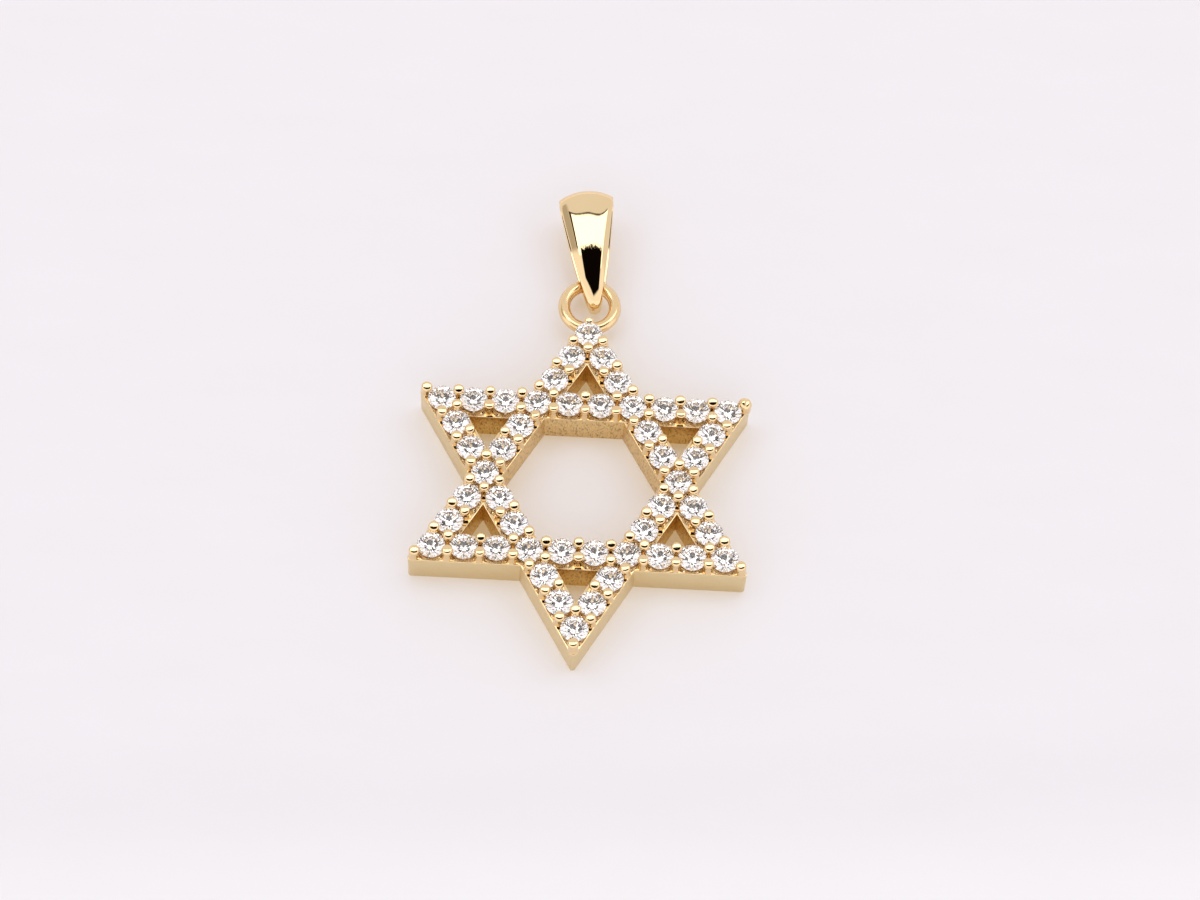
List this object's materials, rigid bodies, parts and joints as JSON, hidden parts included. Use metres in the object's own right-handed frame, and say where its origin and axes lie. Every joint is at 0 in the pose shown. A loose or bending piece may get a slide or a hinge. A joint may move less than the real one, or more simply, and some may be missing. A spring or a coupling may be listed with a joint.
{
  "type": "star of david pendant",
  "caption": "Six-pointed star pendant of two crossed bars of round stones in shared prongs, with a fixed wire ring and a tapered polished bail, lying on its back.",
  "frame": {"origin": "under the middle of the pendant's outline, on the surface that it lies on", "axes": "+Y from the star's bottom point to the bail, +X to the right, +Z out of the set face"},
  "size_m": [0.0167, 0.0266, 0.0029],
  "materials": {
    "satin_gold": "cast 14 carat yellow gold, satin walls, bright beads",
    "polished_gold": "mirror-polished 14 carat yellow gold",
    "white_stone": "clear brilliant-cut stone"
  },
  "bodies": {
    "root": {"star_frame": "satin_gold", "round_stones": "white_stone", "bail": "polished_gold"}
  },
  "joints": []
}
